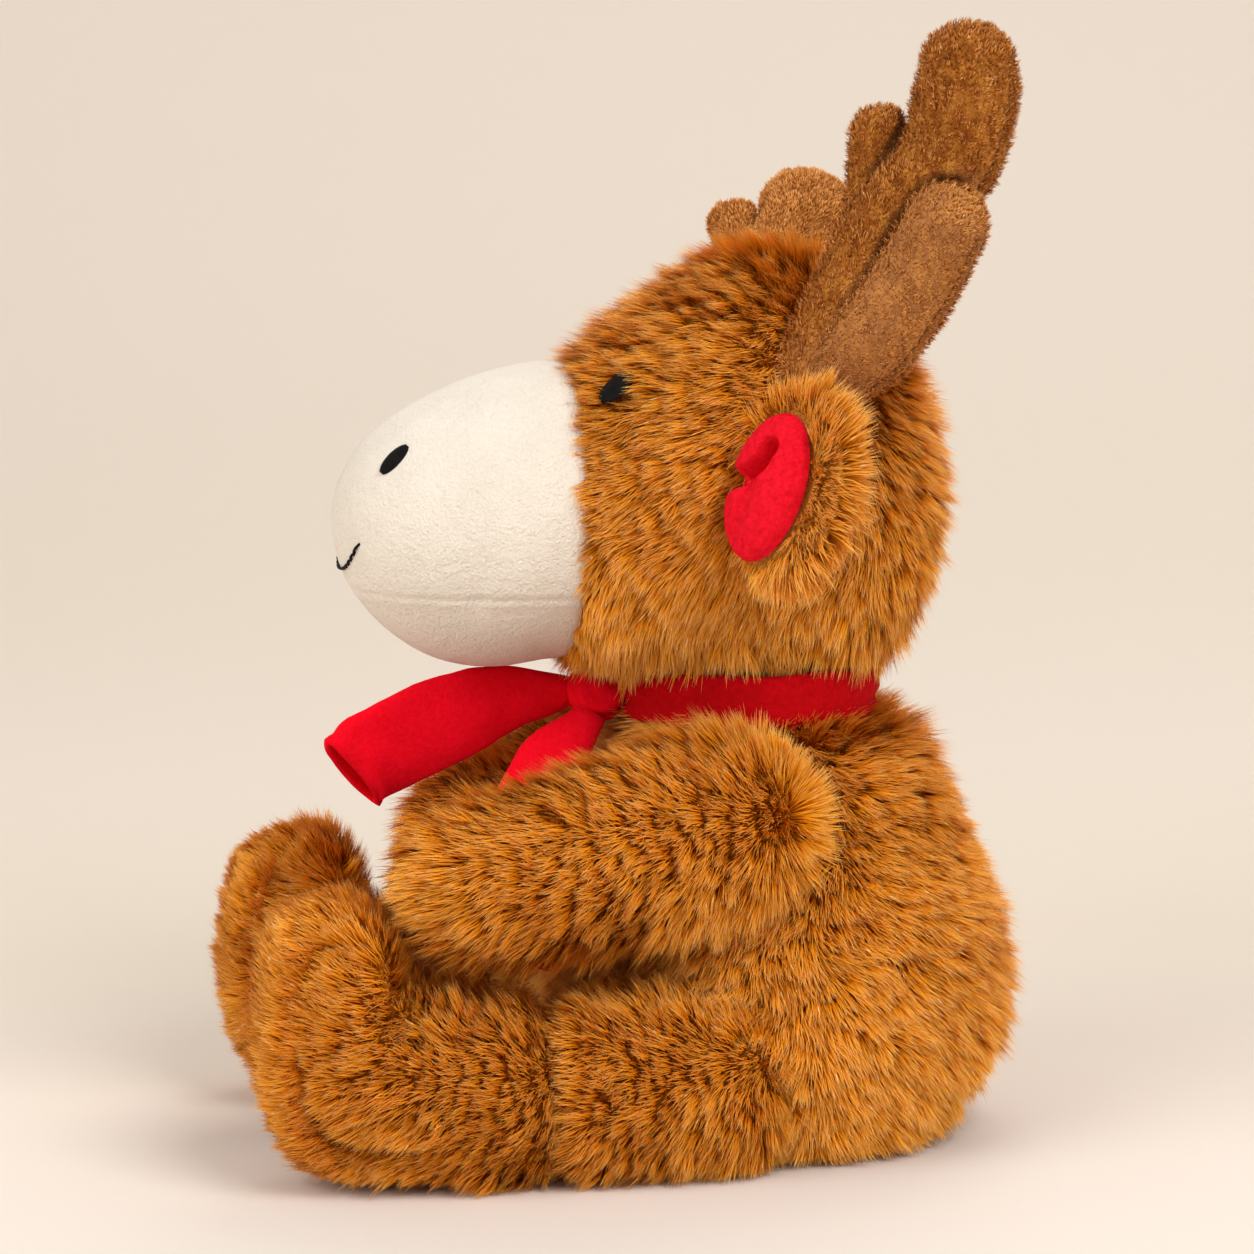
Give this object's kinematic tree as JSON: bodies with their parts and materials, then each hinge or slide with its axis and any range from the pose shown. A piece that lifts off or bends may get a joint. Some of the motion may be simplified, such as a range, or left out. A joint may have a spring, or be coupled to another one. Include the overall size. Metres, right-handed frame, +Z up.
{
  "type": "sitting plush deer",
  "caption": "Sitting stuffed fur deer with a cream muzzle, red-lined ears, soft antlers and a red scarf; head, limbs, ears, antlers and scarf tails turn at their seams.",
  "frame": {"origin": "middle of the seat, on the surface that the deer sits on", "axes": "+Z up; the deer faces -Y; its left side is +X"},
  "size_m": [0.2075, 0.2025, 0.2863],
  "materials": {
    "fur": "long golden brown pile",
    "cream_velour": "short cream velour",
    "antler_plush": "short brown plush",
    "red_fleece": "bright red fleece",
    "black_thread": "satin stitch",
    "stuffing": "white polyester filling",
    "pouch_cloth": "woven pouch of pellets"
  },
  "bodies": {
    "torso": {"torso_skin": "fur", "torso_stuffing": "stuffing", "pellet_pouch": "pouch_cloth", "scarf_loop": "red_fleece", "scarf_knot": "red_fleece"},
    "head": {"head_skin": "fur", "head_stuffing": "stuffing", "muzzle_top_panel": "cream_velour", "muzzle_chin_panel": "cream_velour", "mouth_stitch": "black_thread", "left_eye": "black_thread", "left_nostril": "black_thread", "right_eye": "black_thread", "right_nostril": "black_thread"},
    "front_tail": {"scarf_front_tail": "red_fleece"},
    "side_tail": {"scarf_side_tail": "red_fleece"},
    "left_arm": {"left_arm_skin": "fur", "left_arm_stuffing": "stuffing"},
    "left_leg": {"left_leg_skin": "fur", "left_foot_sole": "fur", "left_leg_stuffing": "stuffing"},
    "left_antler": {"left_antler_skin": "antler_plush", "left_antler_stuffing": "stuffing"},
    "left_ear": {"left_ear_back": "fur", "left_ear_lining": "red_fleece"},
    "right_arm": {"right_arm_skin": "fur", "right_arm_stuffing": "stuffing"},
    "right_leg": {"right_leg_skin": "fur", "right_foot_sole": "fur", "right_leg_stuffing": "stuffing"},
    "right_antler": {"right_antler_skin": "antler_plush", "right_antler_stuffing": "stuffing"},
    "right_ear": {"right_ear_back": "fur", "right_ear_lining": "red_fleece"}
  },
  "joints": [
    {"name": "head_turn", "type": "hinge", "parent": "torso", "child": "head", "pos_m": [0, -0.009, 0.1227], "axis": [0, 0, 1], "range_deg": [-25, 25]},
    {"name": "left_shoulder", "type": "hinge", "parent": "torso", "child": "left_arm", "pos_m": [0.047, -0.025, 0.0855], "axis": [0, 0, 1], "range_deg": [0, 50]},
    {"name": "right_shoulder", "type": "hinge", "parent": "torso", "child": "right_arm", "pos_m": [-0.047, -0.025, 0.0855], "axis": [0, 0, -1], "range_deg": [0, 50]},
    {"name": "left_hip", "type": "hinge", "parent": "torso", "child": "left_leg", "pos_m": [0.047, -0.027, 0.024], "axis": [0, 0, 1], "range_deg": [0, 25]},
    {"name": "right_hip", "type": "hinge", "parent": "torso", "child": "right_leg", "pos_m": [-0.047, -0.027, 0.024], "axis": [0, 0, -1], "range_deg": [0, 25]},
    {"name": "left_ear_seam", "type": "hinge", "parent": "head", "child": "left_ear", "pos_m": [0.051, -0.006, 0.174], "axis": [0, 0, 1], "range_deg": [0, 20]},
    {"name": "right_ear_seam", "type": "hinge", "parent": "head", "child": "right_ear", "pos_m": [-0.051, -0.006, 0.174], "axis": [0, 0, -1], "range_deg": [0, 20]},
    {"name": "left_antler_seam", "type": "hinge", "parent": "head", "child": "left_antler", "pos_m": [0.046, -0.001, 0.199], "axis": [0, 0, 1], "range_deg": [-10, 10]},
    {"name": "right_antler_seam", "type": "hinge", "parent": "head", "child": "right_antler", "pos_m": [-0.046, -0.001, 0.199], "axis": [0, 0, -1], "range_deg": [-6, 10]},
    {"name": "front_tail_swing", "type": "hinge", "parent": "torso", "child": "front_tail", "pos_m": [-0.00275, -0.0555, 0.1154], "axis": [0, 0, 1], "range_deg": [-8, 8]},
    {"name": "side_tail_swing", "type": "hinge", "parent": "torso", "child": "side_tail", "pos_m": [0.00733, -0.05175, 0.1104], "axis": [0, 0, 1], "range_deg": [-10, 4]}
  ]
}
